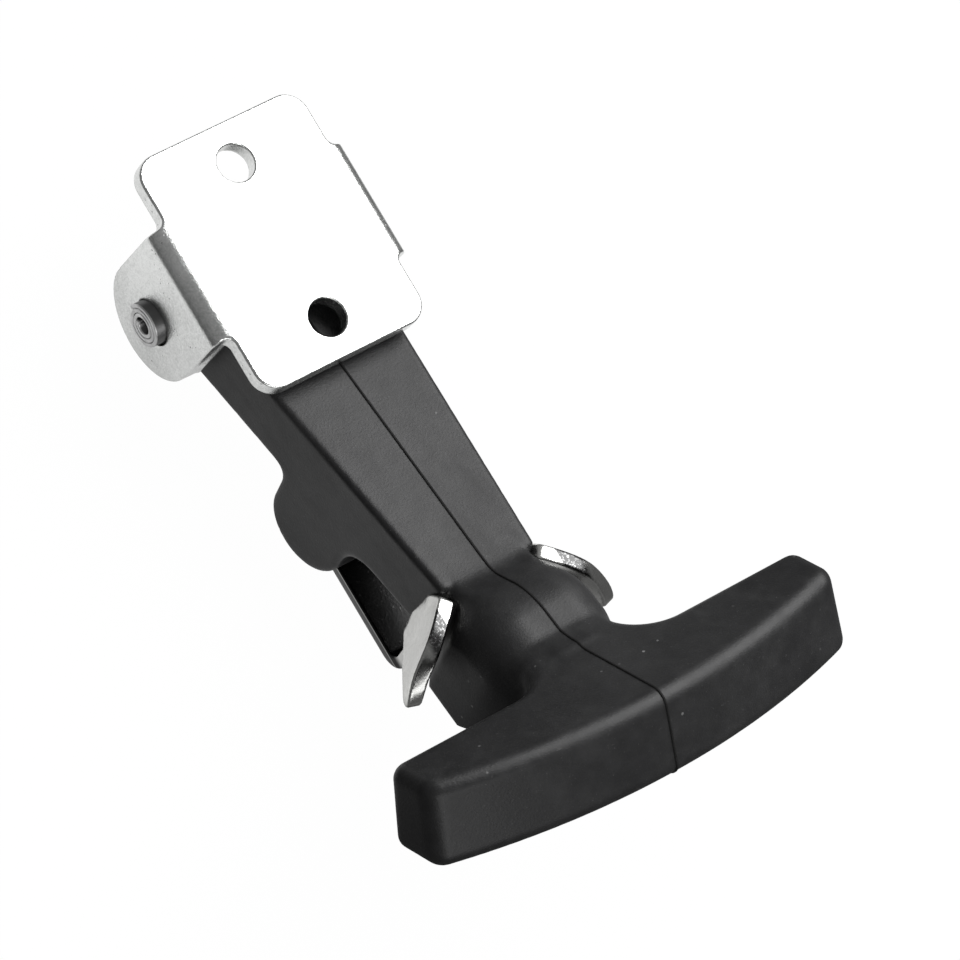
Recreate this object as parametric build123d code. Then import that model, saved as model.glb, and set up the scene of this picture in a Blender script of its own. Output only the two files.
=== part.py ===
from build123d import *
from math import cos, pi, radians, sin
import os

# Rubber T-handle draw latch: a folded bracket, a coiled pin, a moulded handle and a forked keeper.
# Origin: midway between the bracket's two holes, on its mounting face, which looks along +Z.
# The handle reaches out along -Y; "out" below is that distance, and "rise" is the height along Z.

# Bracket, folded from sheet
plate_width = 32.3
plate_length = 42.2
plate_corner = 4.0
bracket_sheet = 3.2
bracket_bend = 0.3          # inside radius of the folds
bracket_bore = 6.5
bore_spacing = 28.6
ear_stand_out = 2.6         # ears' outer faces past the plate's edges
ear_width = 20.4
ear_relief = 1.6            # radius where the ears leave the plate
pin_drop = 15.9             # pin axis below the mounting face

# Coiled pin, rolled from strip
pin_diameter = 8.0
pin_strip = 0.7
pin_turns = 2.2
pin_turn_gap = 0.06
pin_stand_out = 1.4         # past each ear
pin_fit = 0.02              # radial, in the ears

# Rubber handle, body
handle_tilt = 10.8          # degrees, front face against the mounting face
eye_radius = 7.4
eye_play = 0.1              # radial, round the pin
eye_side_play = 0.3         # each side, between the ears
body_back = 5.8             # pin axis to the back face
body_length = 62.4          # pin axis to the throat
body_end_width = 18.8
hump_radius = 7.8
hump_place = 38.0           # along the body, from the pin
hump_drop = 13.0            # its arc's centre, from the pin axis
hump_root = 2.4

# Rubber handle, throat and bulge
throat_width = 16.2
throat_length = 4.3
throat_root = 1.0           # reach back into the body
throat_corner = 2.5
bulge_width = 24.0
bulge_front = 12.4          # from the body's middle
bulge_back = 11.6
bulge_crest = 8.0           # front corner radius
bulge_heel = 2.0            # back corner radius
bulge_start = 9.4           # full section, from the body's end
bulge_length = 7.6

# Rubber handle, cross bar
bar_tilt = 48.0             # degrees, pull direction against the mounting face
bar_out = 94.2
bar_rise = 30.8
bar_half_length = 40.6
bar_depth = 15.0
bar_middle = 17.4           # thickness in the middle
bar_end = 10.0              # thickness at each end
bar_edge = 2.4
bar_draft = 3.0             # degrees, widening towards the back
neck_width = 18.0
neck_fillet = 7.6           # beside the neck, seen from the front
neck_reach = 1.4            # straight part past the fillets, inside the bulge
neck_inset = 0.3            # bulge's last section inside the neck's faces

# Keeper, bent from sheet
keeper_sheet = 2.1
keeper_bend = 3.0           # inside radius, strap to fork
strap_width = 11.6
strap_start = 29.5
strap_corner = 3.0
keeper_bore = 4.4
keeper_sink = 6.6
keeper_bore_spacing = 9.5
keeper_bore_edge = 5.0      # first bore to the strap's end
fork_gap = 0.8              # body's end to the fork
fork_lean = 5.0             # degrees, fork against square to the strap
notch_play = 0.3            # fork round the throat
web_depth = 3.8             # below the notch
horn_root = 7.0             # where the web starts to bend, from the middle
horn_bend = 2.6             # inside radius of that bend
horn_splay = 41.0           # degrees, horns swept towards the cross bar
horn_straight = 8.5
horn_curl_radius = 14.0
horn_curl = 26.0            # degrees, further sweep to the tip
horn_start = 10.0           # inner edge, from the middle
horn_shoulder = 4.6         # inner edge's top above the throat's middle
horn_crown = 5.8            # highest point
horn_crown_place = 11.2     # out from the middle, as is the heel
horn_brow = 4.2             # top edge halfway to the tip
horn_tip_top = -1.2
horn_tip_bottom = -3.4
horn_heel = 13.0            # where the lower edge turns up
horn_corner = 0.9

# Worked out
touch = 0.01                # for picking what lies on a line
ear_outer = plate_width / 2 + ear_stand_out
ear_gap = 2 * (ear_outer - bracket_sheet)
ear_radius = ear_width / 2
bend_outer = bracket_bend + bracket_sheet
eye_half_width = ear_gap / 2 - eye_side_play
body_depth = eye_radius + body_back
body_middle = (eye_radius - body_back) / 2
keeper_face = -2 * pin_drop     # level with the mounting face once the handle is swung over
keeper_top = keeper_face + keeper_sheet
lean = radians(fork_lean)
tilt = radians(handle_tilt)
bar_angle = radians(bar_tilt)

# Directions: "along" runs out from the pin down the body's midline, "front" is square to it
along = Vector(0, -cos(tilt), sin(tilt))
front = Vector(0, sin(tilt), cos(tilt))
across = Vector(1, 0, 0)
pin_axis = Vector(0, 0, -pin_drop)
throat_middle = pin_axis + front * body_middle
fork_middle = throat_middle + along * (body_length + fork_gap)
notch_floor = -body_depth / 2 - notch_play
fork_out = Vector(0, -cos(lean), sin(lean))
fork_up = Vector(0, sin(lean), cos(lean))
body_side = Plane(pin_axis, x_dir=along, z_dir=-across)
body_top = Plane(throat_middle, x_dir=across, z_dir=-front)
bar_pull = Vector(0, -cos(bar_angle), sin(bar_angle))
bar_back = Vector(0, -sin(bar_angle), -cos(bar_angle))
bar_crest = Vector(0, -bar_out, bar_rise)
bar_face = Plane(bar_crest, x_dir=across, z_dir=bar_back)


def bracket():
    ear_plan = Rectangle(2 * ear_outer, ear_width)
    plan = RectangleRounded(plate_width, plate_length, plate_corner) + ear_plan
    ear_line = [v for v in plan.vertices() if abs(abs(v.Y) - ear_radius) < touch]
    plan = fillet([v for v in ear_line if abs(v.X) < ear_outer - touch], ear_relief)
    tall = pin_drop + ear_radius
    section = Pos(0, -tall / 2) * Rectangle(2 * ear_outer, tall)
    section = fillet([v for v in section.vertices() if v.Y > -1], bend_outer)
    hollow = Pos(0, -bracket_sheet - tall / 2) * Rectangle(ear_gap, tall)
    section -= fillet([v for v in hollow.vertices() if v.Y > -tall / 2], bracket_bend)
    channel = extrude(Plane.XZ * section, plate_length, both=True)
    ear = Pos(0, -pin_drop) * Circle(ear_radius) + Pos(0, -pin_drop / 2) * Rectangle(ear_width, pin_drop)
    ear += Pos(0, -bracket_sheet / 2) * Rectangle(plate_length, bracket_sheet)
    side = extrude(Plane.YZ * ear, 2 * ear_outer, both=True)
    body = extrude(plan, -tall) & channel & side
    for end in (-1, 1):
        body -= Pos(0, end * bore_spacing / 2) * Cylinder(bracket_bore / 2, 4 * bracket_sheet)
    pin_bore = Cylinder(pin_diameter / 2 + pin_fit, 3 * ear_outer)
    return body - Pos(*pin_axis) * Rot(0, 90, 0) * pin_bore


def coiled_pin():
    pitch = pin_strip + pin_turn_gap
    steps = round(24 * pin_turns)

    def spiral(start_radius):
        angles = [2 * pi * pin_turns * i / steps for i in range(steps + 1)]
        radii = [start_radius - pitch * a / (2 * pi) for a in angles]
        return [(r * cos(a), r * sin(a)) for r, a in zip(radii, angles)]

    outer = spiral(pin_diameter / 2)
    inner = spiral(pin_diameter / 2 - pin_strip)
    edges = [Spline(*outer), Line(outer[-1], inner[-1]), Spline(*inner), Line(inner[0], outer[0])]
    turns = Plane(pin_axis, x_dir=(0, 1, 0), z_dir=(1, 0, 0)) * make_face(edges)
    return extrude(turns, ear_outer + pin_stand_out, both=True)


def handle_body():
    side = Circle(eye_radius)
    side += Pos(body_length / 2, body_middle) * Rectangle(body_length, body_depth)
    boss_depth = hump_drop + body_middle
    side += Pos(hump_place, body_middle - boss_depth / 2) * Rectangle(2 * hump_radius, boss_depth)
    side += Pos(hump_place, -hump_drop) * Circle(hump_radius)
    roots = [v for v in side.vertices() if abs(v.Y + body_back) < touch and v.X < body_length - touch]
    side = fillet(roots, hump_root)
    prism = extrude(body_side * side, eye_half_width, both=True)
    end = body_end_width / 2
    plan = Polyline(
        (-eye_half_width, -2 * eye_radius), (eye_half_width, -2 * eye_radius), (eye_half_width, 0),
        (end, body_length), (-end, body_length), (-eye_half_width, 0), close=True,
    )
    return prism & extrude(body_top * make_face(plan), 5 * hump_radius, both=True)


def cross_bar():
    tip = bar_end - bar_middle
    near = -bar_middle
    half = neck_width / 2
    foot = near - neck_fillet
    outline = make_face([
        ThreePointArc((-bar_half_length, tip), (0, 0), (bar_half_length, tip)),
        Line((bar_half_length, tip), (bar_half_length, near)),
        Line((bar_half_length, near), (half + neck_fillet, near)),
        CenterArc((half + neck_fillet, foot), neck_fillet, 90, 90),
        Polyline((half, foot), (half, foot - neck_reach), (-half, foot - neck_reach), (-half, foot)),
        CenterArc((-half - neck_fillet, foot), neck_fillet, 0, 90),
        Line((-half - neck_fillet, near), (-bar_half_length, near)),
        Line((-bar_half_length, near), (-bar_half_length, tip)),
    ])
    bar = extrude(bar_face * outline, bar_depth, taper=-bar_draft)
    return fillet(bar.edges(), bar_edge)


def cross_section(plane, width, front_half, back_half, front_corner, back_corner):
    outline = Pos(0, (front_half - back_half) / 2) * Rectangle(width, front_half + back_half)
    crest = outline.vertices().filter_by(lambda v: v.Y > 0)
    outline = fillet(crest, front_corner)
    heel = outline.vertices().sort_by(Axis.Y)[0:2]
    return plane * fillet(heel, back_corner)


def handle():
    half = body_depth / 2
    start = Plane(throat_middle + along * body_length, x_dir=across, z_dir=along)
    root = start.offset(-throat_root)
    throat = cross_section(root, throat_width, half, half, throat_corner, throat_corner)
    bulge = cross_section(
        start.offset(bulge_start), bulge_width, bulge_front, bulge_back, bulge_crest, bulge_heel,
    )
    neck_middle = bar_crest - bar_pull * (bar_middle + neck_fillet / 2) + bar_back * bar_depth / 2
    neck_plane = Plane(neck_middle, x_dir=across, z_dir=bar_pull)
    neck_half = bar_depth / 2 - neck_inset
    bulge = loft([
        Pos(*along * (throat_root + throat_length)) * throat,
        bulge,
        Pos(*along * bulge_length) * bulge,
        cross_section(neck_plane, neck_width, neck_half, neck_half, bar_edge, bar_edge),
    ])
    part = handle_body() + extrude(throat, throat_root + throat_length) + bulge + cross_bar()
    bore = Cylinder(pin_diameter / 2 + eye_play, 3 * ear_outer)
    return part - Pos(*pin_axis) * Rot(0, 90, 0) * bore


def fork():
    plan = Plane(fork_middle, x_dir=across, z_dir=-fork_up)
    web = Line((0, 0), (horn_root, 0))
    bend = JernArc(web @ 1, web % 1, horn_bend + keeper_sheet, horn_splay)
    straight = PolarLine(bend @ 1, horn_straight, horn_splay)
    curl = JernArc(straight @ 1, straight % 1, horn_curl_radius, horn_curl)
    surface = Shell.extrude(plan * Wire([web, bend, straight, curl]), fork_up * 4 * body_depth)
    surface = surface.moved(Location(fork_up * -2 * body_depth))
    foot = notch_floor - web_depth
    tip = (curl @ 1).X
    middle = (horn_crown_place + tip) / 2
    outline = make_face([
        Polyline(
            (horn_start, horn_shoulder), (horn_start, notch_floor), (0, notch_floor), (0, foot),
            (horn_heel, foot), (tip, horn_tip_bottom), (tip, horn_tip_top),
        ),
        ThreePointArc((tip, horn_tip_top), (middle, horn_brow), (horn_crown_place, horn_crown)),
        Line((horn_crown_place, horn_crown), (horn_start, horn_shoulder)),
    ])
    outline = fillet(outline.vertices().filter_by(lambda v: v.X > tip - touch), horn_corner)
    view = Plane(fork_middle - fork_out * body_depth, x_dir=across, z_dir=across.cross(fork_up))
    profile = extrude(view * outline, 4 * body_depth, both=True)
    faces = [face for patch in surface.faces() for face in (patch & profile).faces()]
    sheets = [thicken(face, -keeper_sheet) for face in faces]
    half_fork = sheets[0] + sheets[1:]
    return half_fork + mirror(half_fork, Plane.YZ)


def keeper():
    half = keeper_sheet / 2
    foot = fork_middle + fork_out * half
    foot -= fork_up * ((foot.Z - keeper_face - half) / cos(lean))
    top = fork_middle + fork_out * half + fork_up * (notch_floor - half)
    path = Polyline((-strap_start, foot.Z), (foot.Y, foot.Z), (top.Y, top.Z))
    path = fillet(path.vertices().sort_by(Axis.Y)[0:1], keeper_bend + half)
    strap = extrude(Plane.YZ * trace(path, keeper_sheet), strap_width / 2, both=True)
    ends = strap.edges().filter_by(Axis.Z).sort_by(Axis.Y)[-2:]
    part = fillet(ends, strap_corner) + fork()
    sink_depth = (keeper_sink - keeper_bore) / 2
    sink = Cone(keeper_bore / 2, keeper_sink / 2, sink_depth)
    for index in range(2):
        out = strap_start + keeper_bore_edge + index * keeper_bore_spacing
        part -= Pos(0, -out, keeper_top - sink_depth / 2) * sink
        part -= Pos(0, -out, keeper_face) * Cylinder(keeper_bore / 2, 4 * keeper_sheet)
    return part


os.makedirs("parts", exist_ok=True)
nodes = {
    "mounting_bracket": bracket(),
    "pivot_pin": coiled_pin(),
    "t_handle": handle(),
    "keeper": keeper(),
}
for name, solid in nodes.items():
    export_step(solid, f"parts/{name}.step")
    print(name, round(solid.volume), len(solid.solids()))
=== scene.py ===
import bpy
import math
import numpy as np
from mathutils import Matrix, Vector


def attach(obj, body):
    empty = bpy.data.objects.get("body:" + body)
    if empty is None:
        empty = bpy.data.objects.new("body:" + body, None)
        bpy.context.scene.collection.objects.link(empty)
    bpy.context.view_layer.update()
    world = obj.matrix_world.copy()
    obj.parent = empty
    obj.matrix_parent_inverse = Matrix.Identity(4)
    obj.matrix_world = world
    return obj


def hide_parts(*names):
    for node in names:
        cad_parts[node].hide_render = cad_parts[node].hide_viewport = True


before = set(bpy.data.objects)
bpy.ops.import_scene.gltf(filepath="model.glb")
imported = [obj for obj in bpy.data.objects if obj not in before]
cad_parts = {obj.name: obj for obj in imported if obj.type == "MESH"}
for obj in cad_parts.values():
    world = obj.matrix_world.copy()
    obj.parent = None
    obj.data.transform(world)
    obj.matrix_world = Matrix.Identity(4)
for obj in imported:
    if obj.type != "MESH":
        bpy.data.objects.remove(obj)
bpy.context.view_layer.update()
mm = 0.001


class Socket:
    def __init__(self, tree, out):
        self.tree = tree
        self.out = out

    def make(self, kind, settings=None, values=None, pick=0):
        node = self.tree.nodes.new(kind)
        for key, value in (settings or {}).items():
            setattr(node, key, value)
        for key, value in (values or {}).items():
            if isinstance(value, Socket):
                self.tree.links.new(value.out, node.inputs[key])
            else:
                node.inputs[key].default_value = value
        return Socket(self.tree, node.outputs[pick])

    def math(self, operation, *values):
        return self.make("ShaderNodeMath", {"operation": operation}, dict(enumerate(values)))

    def __add__(self, other):
        return self.math("ADD", self, other)

    def __radd__(self, other):
        return self.math("ADD", other, self)

    def __sub__(self, other):
        return self.math("SUBTRACT", self, other)

    def __rsub__(self, other):
        return self.math("SUBTRACT", other, self)

    def __mul__(self, other):
        return self.math("MULTIPLY", self, other)

    def __rmul__(self, other):
        return self.math("MULTIPLY", other, self)

    def absolute(self):
        return self.math("ABSOLUTE", self)

    def ramp(self, low, high, outLow=0.0, outHigh=1.0):  # smooth step from low to high
        return self.make("ShaderNodeMapRange", {"interpolation_type": "SMOOTHSTEP"},
                         {0: self, 1: low, 2: high, 3: outLow, 4: outHigh})

    def noise(self, scale, detail=3.0, roughness=0.55):
        return self.make("ShaderNodeTexNoise", None,
                         {"Vector": self, "Scale": scale, "Detail": detail, "Roughness": roughness})

    def cells(self, scale):
        return self.make("ShaderNodeTexVoronoi", {"feature": "F1"}, {"Vector": self, "Scale": scale})

    def part(self, axis):  # one axis of a vector
        return self.make("ShaderNodeSeparateXYZ", None, {0: self}, axis)

    def blend(self, first, second):  # two colours by this factor
        return self.make("ShaderNodeMix", {"data_type": "RGBA"}, {0: self, 6: first, 7: second}, 2)

    def bump(self, strength, distance):
        return self.make("ShaderNodeBump", None, {"Height": self, "Strength": strength, "Distance": distance})


def newMaterial(name, fixed):
    material = bpy.data.materials.new(name)
    material.use_nodes = True
    tree = material.node_tree
    shader = tree.nodes["Principled BSDF"]
    for key, value in fixed.items():
        shader.inputs[key].default_value = value
    place = tree.nodes.new("ShaderNodeTexCoord")

    def connect(links):
        for key, value in links.items():
            tree.links.new(value.out, shader.inputs[key])

    return material, Socket(tree, place.outputs["Object"]), connect


def grey(value):
    return (value, value, value, 1.0)


def meshObject(name, points, faces, smooth=True):
    data = bpy.data.meshes.new(name)
    data.from_pydata([tuple(point) for point in points], [], [tuple(face) for face in faces])
    data.update()
    thing = bpy.data.objects.new(name, data)
    bpy.context.scene.collection.objects.link(thing)
    for polygon in data.polygons:
        polygon.use_smooth = smooth
    return thing


# Materials

def rubberMaterial():
    material, place, connect = newMaterial("mouldedRubber", {"Specular IOR Level": 0.34})
    broad = place.noise(38.0, 4.0, 0.6)
    fine = place.noise(420.0, 3.0, 0.6)
    dustCells = place.cells(300.0)
    dustField = place.noise(110.0, 2.0, 0.5)
    dust = dustCells.ramp(0.10, 0.04) * dustField.ramp(0.52, 0.66)
    stretched = place.make("ShaderNodeMapping", None, {"Vector": place, "Scale": (1.0, 0.35, 1.0)})
    streaks = stretched.noise(170.0, 4.0, 0.65)
    grain = place.noise(2400.0, 2.0, 0.6)
    haze = broad.ramp(0.35, 0.72) * 0.4 + streaks.ramp(0.45, 0.75) * 0.35 + fine.ramp(0.3, 0.8) * 0.25
    colour = haze.blend((0.009, 0.009, 0.0095, 1), (0.024, 0.024, 0.0245, 1))
    colour = (dust + grain.ramp(0.66, 0.8) * 0.25).blend(colour, grey(0.16))
    height = fine * 0.35 + grain * 0.65 + dust * 0.6
    connect({
        "Base Color": colour,
        "Roughness": 0.40 + haze * 0.24 + dust * 0.2,
        "Normal": height.bump(0.55, 0.00010),
    })
    return material


def seamPaintedShadeMaterial():
    material, place, connect = newMaterial("rubberSeamPaintedShade", {"Specular IOR Level": 0.2})
    grain = place.noise(900.0, 3.0, 0.6)
    connect({
        # painted shade: the seam's ridge is coloured darker than the rubber, standing for the shadow in a groove
        "Base Color": grain.blend(grey(0.003), grey(0.009)),
        "Roughness": 0.6 + grain * 0.25,
        "Normal": grain.bump(0.3, 0.0001),
    })
    return material


def zincMaterial():
    material, place, connect = newMaterial("zincPlate", {"Metallic": 1.0})
    broad = place.noise(60.0, 4.0, 0.6)
    fine = place.noise(1300.0, 3.0, 0.65)
    pits = place.cells(900.0).ramp(0.22, 0.08) * place.noise(160.0, 2.0, 0.5).ramp(0.5, 0.62)
    grain = place.noise(3600.0, 2.0, 0.6)
    tone = broad * 0.4 + fine * 0.3 + grain * 0.3
    colour = tone.ramp(0.35, 0.62).blend((0.62, 0.63, 0.62, 1), (0.86, 0.87, 0.86, 1))
    colour = (pits * 0.7).blend(colour, grey(0.2))
    connect({
        "Base Color": colour,
        "Roughness": 0.18 + broad * 0.12 + pits * 0.2,
        "Normal": (fine * 0.3 + grain * 0.9 - pits * 0.6).bump(0.7, 0.00007),
    })
    return material


def keeperMaterial():
    material, place, connect = newMaterial("keeperSteel", {"Metallic": 1.0})
    broad = place.noise(90.0, 4.0, 0.6)
    fine = place.noise(1100.0, 3.0, 0.6)
    tone = broad * 0.6 + fine * 0.4
    height = place.part(2)
    grain = place.noise(2600.0, 2.0, 0.6)
    # the tones below are laid on by place and paint dark reflections, not a finish: painted reflection on the strap's
    # top, its sides and the horns' upturned cut edges; for plain zinc plate, delete them and feed the first colour to
    # Base Color
    # painted reflection: every surface at the height of the strap's top face, the top and the bend beside it, is
    # darkened
    strapPaintedReflection = height.ramp(-0.0302, -0.0299) * height.ramp(-0.0272, -0.0290)
    colour = tone.ramp(0.3, 0.7).blend((0.66, 0.66, 0.64, 1), (0.84, 0.84, 0.82, 1))
    # dark speckled colour of the painted reflection on the strap's top
    paintedReflectionColour = grain.ramp(0.62, 0.78).blend(grey(0.014), grey(0.09))
    facing = place.make("ShaderNodeTexCoord", None, {}, 1)
    sideways = facing.part(0).absolute().ramp(0.5, 0.8)
    # painted reflection: the strap's sideways-facing faces below its top are darkened
    strapSidePaintedReflection = height.ramp(-0.0300, -0.0303) * sideways
    upward = facing.part(2).ramp(0.35, 0.6)
    reach = place.part(0).absolute()
    # painted reflection: upward-facing faces from 11.4 mm out, the horns' cut edges, are darkened, less so beyond 15
    # mm
    cutEdgePaintedReflection = upward * reach.ramp(0.0114, 0.0118) * (1 - reach.ramp(0.0150, 0.0162) * 0.55)
    colour = cutEdgePaintedReflection.blend(colour, grain.ramp(0.5, 0.8).blend(grey(0.06), grey(0.35)))
    colour = strapSidePaintedReflection.blend(colour, grey(0.10))
    connect({
        "Base Color": strapPaintedReflection.blend(colour, paintedReflectionColour),
        "Roughness": 0.16 + broad * 0.14,
        "Normal": (fine * 0.5 + grain * 0.5).bump(0.35, 0.00006),
    })
    return material


def pinMaterial():
    material, place, connect = newMaterial("pinSteel", {"Metallic": 1.0})
    broad = place.noise(260.0, 3.0, 0.6)
    fine = place.noise(1600.0, 2.0, 0.6)
    # painted shade: the pin's side and bore, back from its end faces, are coloured dark grey; only the end faces get
    # the steel's tone
    face = place.part(0).absolute().ramp(0.0206, 0.02085)
    connect({
        "Base Color": face.blend(grey(0.14), broad.ramp(0.3, 0.7).blend(grey(0.45), grey(0.78))),
        "Roughness": 0.34 + broad * 0.2,
        "Normal": fine.bump(0.3, 0.00006),
    })
    return material


# Rubber handle: one field of signed distances in millimetres, meshed by surface nets

handleSettings = {
    "pinDrop": 15.9, "tilt": 10.8, "eyeRadius": 7.4, "bore": 4.1, "back": -5.8, "front": 7.4,
    "eyeHalf": 15.25, "endHalf": 9.4, "endPlace": 64.4, "edge": 1.1,
    "humpPlace": 38.0, "humpDrop": -13.0, "humpTop": -5.0, "humpRadius": 7.8, "humpRoot": 3.6,
    "humpHeel": 7.5, "heelLength": 6, "heelTop": -1, "heelDepth": 3,
    "throatHalf": 8.1, "throatEnd": 66.7, "bulgeFull": 71.8, "bulgeEnd": 79.4, "bulgeHalf": 12.0,
    "bulgeCrest": 8.0, "bulgeHeel": 2.0, "bulgeBlend": 1.6, "throatCorner": 2.0, "crestStart": -4, "crestSpan": 12,
    "sharpBlend": 0.05, "sharpTop": 6.6, "sharpFade": 1.6,
    "barOut": 94.2, "barRise": 30.8, "barTilt": 48.0, "barRadius": 115.1, "barHalf": 40.6,
    "barInner": -17.4, "barDepth": 15.0, "barDraft": 0.0524, "barEdge": 2.5,
    "neckHalf": 9.0, "neckInset": 0.4, "neckFillet": 7.6, "neckPlace": -21.2, "neckEnd": -26.4,
    "step": 0.5,
}
bulgeCorners = [
    (58, 7.37), (62, 7.38), (65, 7.6), (67.5, 9.4), (70.5, 12.0), (74.5, 13.5), (78.0, 13.7), (81.5, 13.8), (86, 17.0),
    (94.5, 4.5), (79.6, -10.8), (79.6, -10.8), (71.0, -10.8), (71.0, -10.8), (67.0, -5.78), (62, -5.78), (58, -5.77),
]


def rounded(corners, rounds):  # cuts the corners of a closed outline
    points = np.array(corners, float)
    for _ in range(rounds):
        after = np.roll(points, -1, 0)
        points = np.stack([0.75 * points + 0.25 * after, 0.25 * points + 0.75 * after], 1).reshape(-1, 2)
    return [tuple(point) for point in points]


bulgeOutline = rounded(bulgeCorners, 3)


def roundMax(a, b, radius):  # convex edge with a radius
    return np.minimum(np.maximum(a, b), -radius) + np.hypot(np.maximum(a + radius, 0), np.maximum(b + radius, 0))


def roundMin(a, b, radius):  # concave corner with a radius
    return np.maximum(np.minimum(a, b), radius) - np.hypot(np.maximum(radius - a, 0), np.maximum(radius - b, 0))


def blendMin(a, b, reach):
    h = np.clip(0.5 + 0.5 * (b - a) / reach, 0, 1)
    return b + (a - b) * h - reach * h * (1 - h)


def smooth(t):
    t = np.clip(t, 0, 1)
    return t * t * (3 - 2 * t)


def outlineField(a, b, corners):  # signed distance to a closed outline
    nearest, inside = np.full(np.broadcast(a, b).shape, 1e9), np.zeros(np.broadcast(a, b).shape, bool)
    for (a0, b0), (a1, b1) in zip(corners, corners[1:] + corners[:1]):
        da, db = a1 - a0, b1 - b0
        t = np.clip(((a - a0) * da + (b - b0) * db) / max(da * da + db * db, 1e-9), 0, 1)
        nearest = np.minimum(nearest, np.hypot(a - a0 - t * da, b - b0 - t * db))
        if db:
            inside ^= ((b0 > b) != (b1 > b)) & (a < a0 + (b - b0) * da / db)
    return np.where(inside, -nearest, nearest)


def handleField(x, out, rise):
    s = handleSettings
    c, n = math.cos(math.radians(s["tilt"])), math.sin(math.radians(s["tilt"]))
    across = np.abs(x)
    p = out * c + (rise + s["pinDrop"]) * n
    q = -out * n + (rise + s["pinDrop"]) * c
    cb, nb = math.cos(math.radians(s["barTilt"])), math.sin(math.radians(s["barTilt"]))
    u = (out - s["barOut"]) * cb + (rise - s["barRise"]) * nb
    v = (out - s["barOut"]) * nb - (rise - s["barRise"]) * cb
    # body and hump
    slab = roundMax(np.maximum(s["back"] - q, q - s["front"]), p - s["endPlace"], s["edge"])
    side = np.minimum(np.hypot(p, q) - s["eyeRadius"], np.maximum(slab, -p))
    along = np.clip(q, s["humpDrop"], s["humpTop"])
    heel = smooth((p - s["humpPlace"]) / s["heelLength"]) * smooth((s["heelTop"] - q) / s["heelDepth"])
    root = s["humpRoot"] + (s["humpHeel"] - s["humpRoot"]) * heel
    side = blendMin(side, np.hypot(p - s["humpPlace"], q - along) - s["humpRadius"], root)
    slope = (s["eyeHalf"] - s["endHalf"]) / s["endPlace"]
    half = s["eyeHalf"] - slope * np.clip(p, 0, 90)
    body = roundMax(side, (across - half) / math.hypot(1, slope), s["edge"])
    # throat and bulge
    grow = smooth((p - s["throatEnd"]) / (s["bulgeFull"] - s["throatEnd"]))
    past, left = np.maximum(p - s["bulgeEnd"], 0), np.maximum(s["neckPlace"] - u, 1e-3)
    half = s["throatHalf"] + (s["bulgeHalf"] - s["throatHalf"]) * grow
    half = half - (s["bulgeHalf"] - s["neckHalf"] - s["neckInset"]) * smooth(past / (past + left))
    crest = (s["bulgeCrest"] - s["bulgeHeel"]) * smooth((q - s["crestStart"]) / s["crestSpan"])
    radius = s["throatCorner"] + grow * (s["bulgeHeel"] - s["throatCorner"] + crest)
    bulge = roundMax(outlineField(p, q, bulgeOutline), across - half, radius)
    # cross bar and neck
    grow = s["barDraft"] * np.clip(v, 0, s["barDepth"])
    arc = np.hypot(x, u + s["barRadius"]) - s["barRadius"] - grow
    plan = roundMax(arc, across - s["barHalf"] - grow, s["barEdge"])
    inner = roundMin(s["barInner"] - u - grow, across - s["neckHalf"] - grow, s["neckFillet"])
    plan = np.maximum(roundMax(plan, inner, s["barEdge"]), s["neckEnd"] - u)
    bar = roundMax(plan, np.abs(v - s["barDepth"] / 2) - s["barDepth"] / 2, s["barEdge"])
    reach = s["sharpBlend"] + (s["bulgeBlend"] - s["sharpBlend"]) * smooth((s["sharpTop"] - q) / s["sharpFade"])
    whole = blendMin(blendMin(body, bulge, reach), bar, s["bulgeBlend"])
    return np.maximum(whole, s["bore"] - np.hypot(p, q))


def surfaceNet(field, low, high, step):
    axes = [np.arange(a, b + step, step) for a, b in zip(low, high)]
    grid = np.meshgrid(*axes, indexing="ij", sparse=True)
    values = field(*grid)
    inside = values < 0
    shape = tuple(n - 1 for n in values.shape)
    corners = [(i, j, k) for i in (0, 1) for j in (0, 1) for k in (0, 1)]
    count = sum(inside[i:i + shape[0], j:j + shape[1], k:k + shape[2]].astype(np.int8) for i, j, k in corners)
    cells = np.argwhere((count > 0) & (count < 8))
    total = np.zeros((len(cells), 3))
    hits = np.zeros(len(cells))
    for first in corners:
        for axis in range(3):
            if first[axis]:
                continue
            second = tuple(1 if n == axis else c for n, c in enumerate(first))
            a = values[tuple((cells + first).T)]
            b = values[tuple((cells + second).T)]
            cross = (a < 0) != (b < 0)
            t = np.where(cross, a / np.where(a == b, 1, a - b), 0)
            total += np.where(cross[:, None], np.array(first) + np.eye(3)[axis] * t[:, None], 0)
            hits += cross
    points = (cells + total / hits[:, None]) * step + np.array(low)
    index = -np.ones(shape, int)
    index[tuple(cells.T)] = np.arange(len(cells))
    faces = []
    for axis in range(3):
        one, two = (axis + 1) % 3, (axis + 2) % 3
        near = [slice(1, -1)] * 3
        near[axis] = slice(0, -1)
        far = list(near)
        far[axis] = slice(1, None)
        a, b = inside[tuple(near)], inside[tuple(far)]
        where = np.argwhere(a != b) + [0 if n == axis else 1 for n in range(3)]
        solid = inside[tuple(where.T)]
        e1, e2 = np.eye(3, dtype=int)[one], np.eye(3, dtype=int)[two]
        quad = np.stack([index[tuple((where - m * e1 - n * e2).T)] for m, n in ((1, 1), (0, 1), (0, 0), (1, 0))], 1)
        faces.append(np.where(solid[:, None], quad, quad[:, ::-1]))
    return points, np.concatenate(faces)


def settle(field, points, rounds=2):  # pulls points onto the surface
    e = 0.02
    for _ in range(rounds):
        value = field(*points.T)
        slope = np.stack([
            (field(*(points + step).T) - field(*(points - step).T)) / (2 * e) for step in np.eye(3) * e
        ], 1)
        size = np.maximum((slope ** 2).sum(1), 0.25)
        points = points - np.clip(value / size, -0.3, 0.3)[:, None] * slope
    return points


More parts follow.
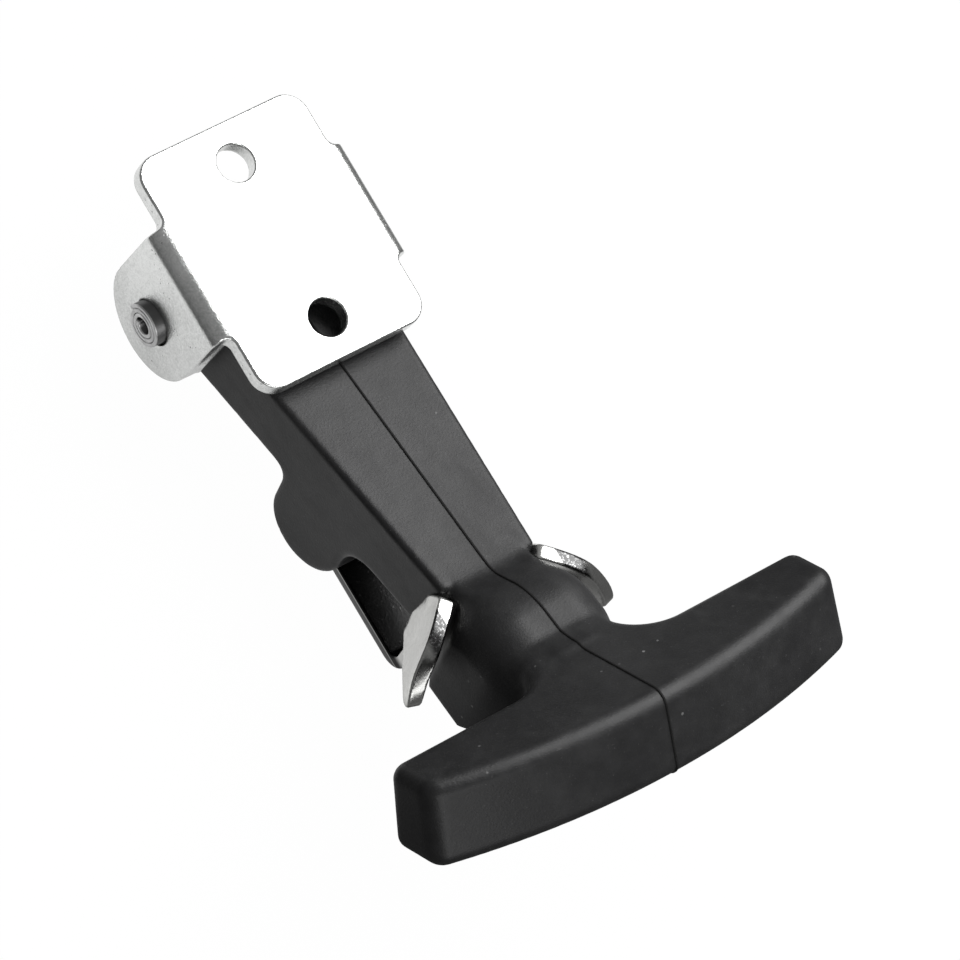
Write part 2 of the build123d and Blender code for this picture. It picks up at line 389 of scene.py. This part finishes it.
def toFrame(points):  # across, out and rise in millimetres to metres in the frame
    return np.stack([points[:, 0], -points[:, 1], points[:, 2]], 1) * mm


def rubberHandle():
    points, faces = surfaceNet(handleField, (-43.13, -9.07, -31.09), (43.2, 107, 34), handleSettings["step"])
    points = settle(handleField, points)
    handle = meshObject("rubberHandle", toFrame(points), faces[:, ::-1])
    print("rubber handle", len(points), "points")
    return handle


seamSettings = {"step": 0.4, "width": 0.24, "height": 0.16, "root": -0.2, "outs": (-9, 107), "rises": (-31, 34)}


def partingSeam():
    s = seamSettings
    step, width, height = s["step"], s["width"], s["height"]
    outs, rises = np.arange(*s["outs"], step), np.arange(*s["rises"], step)
    o, r = np.meshgrid(outs, rises, indexing="ij")
    flat = handleField(np.zeros_like(o), o, r)
    inside = flat < 0
    links = {}
    for i, j in np.argwhere(inside[1:-1, 1:] != inside[1:-1, :-1]) + [1, 0]:  # crossed edges along rise
        links.setdefault((i - 1, j), []).append((i, j))
        links.setdefault((i, j), []).append((i - 1, j))
    for i, j in np.argwhere(inside[1:, 1:-1] != inside[:-1, 1:-1]) + [0, 1]:  # crossed edges along out
        links.setdefault((i, j - 1), []).append((i, j))
        links.setdefault((i, j), []).append((i, j - 1))
    loops = []
    while links:
        start = next(iter(links))
        loop, here = [], start
        while here in links:
            loop.append(here)
            following = [n for n in links.pop(here) if n in links]
            here = following[0] if following else None
        loops.append(loop)
    loop = max(loops, key=len)
    line = np.array([(0, outs[0] + (i + 0.5) * step, rises[0] + (j + 0.5) * step) for i, j in loop])
    line = settle(handleField, line, 5)
    for _ in range(3):
        line = (np.roll(line, 1, 0) + 2 * line + np.roll(line, -1, 0)) / 4
        line[:, 0] = 0
    line = settle(handleField, line, 3)
    line[:, 0] = 0
    e = 0.02
    normal = np.stack([
        np.zeros(len(line)),
        handleField(line[:, 0], line[:, 1] + e, line[:, 2]) - handleField(line[:, 0], line[:, 1] - e, line[:, 2]),
        handleField(line[:, 0], line[:, 1], line[:, 2] + e) - handleField(line[:, 0], line[:, 1], line[:, 2] - e),
    ], 1)
    normal /= np.linalg.norm(normal, axis=1)[:, None]
    profile = [(-width, s["root"]), (-width * 0.7, height), (width * 0.7, height), (width, s["root"])]
    rings = [toFrame(line + normal * lift + [shift, 0, 0]) for shift, lift in profile]
    points = np.concatenate(rings)
    n, m = len(line), len(profile)
    faces = [
        (a * n + i, a * n + (i + 1) % n, (a + 1) % m * n + (i + 1) % n, (a + 1) % m * n + i)
        for a in range(m) for i in range(n)
    ]
    seam = meshObject("partingSeam", points, faces)
    print("parting seam", n, "steps")
    return seam


# Forked keeper, as a field of the bent sheet

keeperSettings = {
    "sheet": 2.1, "half": 5.8, "start": 29.5, "corner": 3.0, "face": -31.8, "bend": 2.0, "edge": 0.3,
    "bores": (34.5, 44.0), "bore": 2.2, "sink": 3.3, "boreEdge": 0.12,
    "fork": (61.65, -3.27), "lean": 5.0, "notch": -6.9, "weld": 0.5,
    "root": 7.0, "hornBend": 4.7, "splay": 41.0, "straight": 10.5, "curlRadius": 9.6,
    "flare": 2.0, "flareTop": 3.0, "flareDepth": 13.0, "flareFrom": 7, "flareRise": 5,
    "bow": 2.0, "bowFrom": 5.5, "bowRise": 3, "bowEnd": 15, "bowFall": 6,
    "bowTop": 7.5, "bowFade": 5, "bowFoot": -11, "bowGrow": 8,
    "hornEdge": 0.35, "blade": 2.7, "step": 0.3,
}
hornCorners = [
    (9.8, -6.0), (9.8, 0.0), (9.8, 4.8), (9.9, 6.5), (12.0, 6.5), (14.6, 6.1), (16.8, 4.9), (18.5, 2.9), (19.7, 1.2),
    (20.5, -0.3), (21.0, -2.2), (20.9, -3.4), (19.6, -2.9), (18.2, -3.8), (16.2, -5.6), (13.6, -6.8), (11.6, -7.6),
    (9.8, -9.6), (8.0, -10.7), (0, -10.7), (-4, -10.7), (-4, -6.9), (4, -6.9), (8.8, -6.9), (9.6, -6.9),
]
hornOutline = rounded(hornCorners, 3)


def sheetPath(x, y):  # signed distance from the bent line, and how far out its nearest point lies
    s = keeperSettings
    radius, turn = s["hornBend"], math.radians(s["splay"])
    c, n = math.cos(turn), math.sin(turn)
    legs = [(y, np.clip(x, -4, s["root"]), x < s["root"])]
    dx, dy = x - s["root"], y - radius
    angle = np.arctan2(dx, -dy)
    legs.append((radius - np.hypot(dx, dy), s["root"] + radius * np.sin(np.clip(angle, 0, turn)), angle < turn))
    ex, ey = s["root"] + radius * n, radius * (1 - c)
    along = (x - ex) * c + (y - ey) * n
    legs.append((-(x - ex) * n + (y - ey) * c, ex + np.maximum(along, 0) * c, along < s["straight"]))
    fx, fy = ex + s["straight"] * c, ey + s["straight"] * n
    cx, cy = fx - s["curlRadius"] * n, fy + s["curlRadius"] * c
    angle = np.arctan2(x - cx, cy - y)
    legs.append((s["curlRadius"] - np.hypot(x - cx, y - cy), cx + s["curlRadius"] * np.sin(angle), angle < 2))
    distances, places, conditions = zip(*legs)
    return np.select(conditions, distances, 9), np.select(conditions, places, 30)


def keeperField(x, out, rise):
    s = keeperSettings
    across, half = np.abs(x), s["sheet"] / 2
    c, n = math.cos(math.radians(s["lean"])), math.sin(math.radians(s["lean"]))
    y = (out - s["fork"][0]) * c + (rise - s["fork"][1]) * n
    w = -(out - s["fork"][0]) * n + (rise - s["fork"][1]) * c
    # strap and stem
    bent = roundMax(s["face"] + half - rise, y - half, s["bend"] + half)
    profile = np.maximum(np.abs(bent) - half, w - s["notch"])
    plan = roundMax(across - s["half"], s["start"] - out, s["corner"])
    strap = roundMax(profile, plan, s["edge"])
    for place in s["bores"]:
        reach = np.hypot(x, out - place)
        strap = roundMax(strap, s["bore"] - reach, s["boreEdge"])
        depth = s["face"] + s["sheet"] - rise
        sink = np.where(depth < 4, (s["sink"] - depth - reach) / math.sqrt(2), -9)
        strap = roundMax(strap, sink, s["boreEdge"])
    # fork
    flare = s["flare"] * np.clip((s["flareTop"] - w) / s["flareDepth"], 0, 1) ** 2
    flare = flare * smooth((across - s["flareFrom"]) / s["flareRise"])
    bow = s["bow"] * smooth((across - s["bowFrom"]) / s["bowRise"]) * smooth((s["bowEnd"] - across) / s["bowFall"])
    bow = bow * smooth((s["bowTop"] - w) / s["bowFade"]) * smooth((w - s["bowFoot"]) / s["bowGrow"])
    distance, place = sheetPath(across, y + flare + bow)
    thick = s["blade"] / 2
    blade = roundMax(np.abs(distance - thick) - thick, outlineField(place, w, hornOutline), s["hornEdge"])
    return blendMin(strap, blade, s["weld"])


def forkedKeeper():
    points, faces = surfaceNet(keeperField, (-21.6, 28.03, -33.07), (21.7, 76, 6), keeperSettings["step"])
    points = settle(keeperField, points)
    keeper = meshObject("forkedKeeper", toFrame(points), faces[:, ::-1])
    print("forked keeper", len(points), "points")
    return keeper


# Folded bracket, as a field

bracketSettings = {
    "half": 16.3, "long": 21.25, "corner": 4.0, "sheet": 3.2, "outer": 19.35, "bend": 3.5, "fold": 0.3,
    "ear": 10.2, "relief": 1.6, "bore": 3.25, "bores": 14.3, "drop": 15.9, "pin": 4.02, "edge": 0.36, "boreEdge": 0.2,
    "step": 0.3,
}


def bracketField(x, out, rise):
    s = bracketSettings
    across, along, sheet, edge = np.abs(x), np.abs(out), s["sheet"], s["edge"]
    skin = roundMax(across - s["outer"], rise + 0 * x, s["bend"])
    shell = np.maximum(skin, -roundMax(across - s["outer"] + sheet, rise + sheet, s["fold"]))
    disc = np.hypot(along, rise + s["drop"]) - s["ear"]
    ears = roundMax(shell, np.minimum(disc, np.maximum(along - s["ear"] - edge, -s["drop"] - rise)), edge)
    slab = np.maximum(skin, -sheet - rise)
    plate = roundMax(across - s["half"], along - s["long"], s["corner"])
    plan = roundMin(plate, np.maximum(across - s["outer"], along - s["ear"]), s["relief"])
    whole = roundMax(np.minimum(ears, slab), plan, edge)
    whole = roundMax(whole, s["bore"] - np.hypot(x, along - s["bores"]), s["boreEdge"])
    return roundMax(whole, s["pin"] - np.hypot(along, rise + s["drop"]), s["boreEdge"])


def foldedBracket():
    points, faces = surfaceNet(bracketField, (-19.93, -21.89, -26.71), (20.0, 22.0, 0.7), bracketSettings["step"])
    points = settle(bracketField, points)
    bracket = meshObject("foldedBracket", toFrame(points), faces[:, ::-1])
    print("folded bracket", len(points), "points")
    return bracket


# Coiled pin

pinSettings = {
    "drop": 15.9, "radius": 3.98, "strip": 0.7, "gap": 0.07, "turns": 2.95, "half": 20.95, "ease": 0.14, "steps": 40,
}


def coiledPin():
    s = pinSettings
    total = round(s["steps"] * s["turns"])
    pitch = (s["strip"] + s["gap"]) / s["steps"]

    def spiral(shrink):
        rows = []
        for i in range(total + 1):
            angle = 2 * math.pi * i / s["steps"]
            middle = s["radius"] - s["strip"] / 2 - pitch * i
            for r in (middle + s["strip"] / 2 - shrink, middle - s["strip"] / 2 + shrink):
                rows.append((r * math.cos(angle), r * math.sin(angle) - s["drop"]))
        return rows

    end, ease = s["half"], s["ease"]
    levels = [(-end, ease), (-end + ease, 0), (end - ease, 0), (end, ease)]
    points = [(x * mm, y * mm, z * mm) for x, shrink in levels for y, z in spiral(shrink)]
    row = 2 * (total + 1)
    faces = []
    for i in range(total):
        faces.append((2 * i, 2 * i + 2, 2 * i + 3, 2 * i + 1))
        last = 3 * row + 2 * i
        faces.append((last, last + 1, last + 3, last + 2))
    for level in range(3):
        a, b = level * row, (level + 1) * row
        for i in range(total):
            faces.append((a + 2 * i, b + 2 * i, b + 2 * i + 2, a + 2 * i + 2))
            faces.append((a + 2 * i + 1, a + 2 * i + 3, b + 2 * i + 3, b + 2 * i + 1))
        faces.append((a, a + 1, b + 1, b))
        faces.append((a + 2 * total, b + 2 * total, b + 2 * total + 1, a + 2 * total + 1))
    pin = meshObject("coiledPin", points, faces)
    print("coiled pin", len(points), "points")
    return pin


# Assembly

rubber, seamPaintedShade = rubberMaterial(), seamPaintedShadeMaterial()
zinc, keeperSteel, pinSteel = zincMaterial(), keeperMaterial(), pinMaterial()


def fit(piece, body, material, node=None):
    piece.data.materials.clear()
    piece.data.materials.append(material)
    if node:
        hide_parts(node)
    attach(piece, body)


fit(foldedBracket(), "bracket", zinc, "mounting_bracket")
fit(coiledPin(), "bracket", pinSteel, "pivot_pin")
fit(forkedKeeper(), "handle", keeperSteel, "keeper")
fit(rubberHandle(), "handle", rubber, "t_handle")
fit(partingSeam(), "handle", seamPaintedShade)


# Studio

studioSettings = {
    "floorDrop": -0.0322, "floorSize": 6.0, "camera": (-0.5260, -0.1722, 0.9726),
    "right": (0.7797, -0.5098, 0.3635), "up": (0.4037, 0.8531, 0.3305), "back": (-0.4786, -0.1109, 0.8710),
    "lens": 266.25,
    "overhead": ((0.57, 0.14, 0.80), 1.1, (1.0, 1.1), 22.0),  # direction, distance, size, power
    "front": ((-0.35, -0.85, 0.45), 0.9, (0.6, 0.5), 2.6),
    "cameraGlow": 0.985, "nearGlow": 0.55, "nearGrey": 0.6, "farGrey": 0.10,
}


def floorMaterial():
    s = studioSettings
    material, place, connect = newMaterial("paleFloor", {"Specular IOR Level": 0.0})
    tree = material.node_tree
    grain = place.noise(30.0, 3.0, 0.5)
    connect({"Base Color": grain.blend(grey(0.86), grey(0.90)), "Roughness": 0.9 + grain * 0.05})
    path = tree.nodes.new("ShaderNodeLightPath")
    camera = Socket(tree, path.outputs["Is Camera Ray"])
    shader = Socket(tree, tree.nodes["Principled BSDF"].outputs[0])
    glow = camera.make("ShaderNodeEmission", None, {"Color": grey(1.0), "Strength": 1.0})
    seen = camera.make("ShaderNodeMixShader", None, {0: s["cameraGlow"], 1: shader, 2: glow})
    dull = camera.make("ShaderNodeBsdfDiffuse", None, {"Color": grey(s["nearGrey"])})
    # rays other than the camera's meet a floor that glows near the object, a painted light that lights it and shows in
    # its reflections, and is a dull dark grey further out
    near = place.part(0).absolute().ramp(0.068, 0.055)
    near = near * place.part(1).ramp(-0.095, -0.050)
    lit = camera.make("ShaderNodeMixShader", None, {0: s["nearGlow"], 1: dull, 2: glow})
    dim = camera.make("ShaderNodeBsdfDiffuse", None, {"Color": grey(s["farGrey"])})
    glowAndBounce = camera.make("ShaderNodeMixShader", None, {0: near, 1: dim, 2: lit})
    whole = camera.make("ShaderNodeMixShader", None, {0: camera, 1: glowAndBounce, 2: seen})
    tree.links.new(whole.out, tree.nodes["Material Output"].inputs["Surface"])
    return material


def studio():
    s = studioSettings
    half = s["floorSize"] / 2
    floor = meshObject("floor", [(-half, -half, s["floorDrop"]), (half, -half, s["floorDrop"]),
                                 (half, half, s["floorDrop"]), (-half, half, s["floorDrop"])], [(0, 1, 2, 3)], False)
    floor.data.materials.append(floorMaterial())

    world = bpy.data.worlds.new("studio")
    bpy.context.scene.world = world
    world.use_nodes = True
    tree = world.node_tree
    background = tree.nodes["Background"]
    place = Socket(tree, tree.nodes.new("ShaderNodeTexCoord").outputs["Generated"])
    height = place.part(2)
    level = height.ramp(0.0, 0.9, 0.17, 0.24)
    camera = Socket(tree, tree.nodes.new("ShaderNodeLightPath").outputs["Is Camera Ray"])
    tree.links.new((level + camera * (1.0 - level)).out, background.inputs["Strength"])
    background.inputs["Color"].default_value = grey(1.0)

    def softbox(name, direction, distance, size, power):
        data = bpy.data.lights.new(name, "AREA")
        data.shape = "RECTANGLE"
        data.size, data.size_y = size
        data.energy = power
        lamp = bpy.data.objects.new(name, data)
        towards = Vector(direction).normalized()
        lamp.location = towards * distance + Vector((0, -0.05, 0))
        lamp.rotation_euler = towards.to_track_quat("Z", "Y").to_euler()
        bpy.context.scene.collection.objects.link(lamp)

    softbox("overhead", *s["overhead"])
    softbox("front", *s["front"])

    data = bpy.data.cameras.new("camera")
    data.sensor_width = 36.0
    data.lens = s["lens"]
    data.clip_end = 20.0
    camera = bpy.data.objects.new("camera", data)
    axes = [Vector(s["right"]).normalized(), Vector(s["up"]).normalized(), Vector(s["back"]).normalized()]
    matrix = camera.matrix_world.copy()
    for column, axis in enumerate(axes):
        for row in range(3):
            matrix[row][column] = axis[row]
    for row in range(3):
        matrix[row][3] = s["camera"][row]
    camera.matrix_world = matrix
    bpy.context.scene.collection.objects.link(camera)
    bpy.context.scene.camera = camera
    bpy.context.scene.view_settings.view_transform = "Standard"
    print("studio ready")


studio()
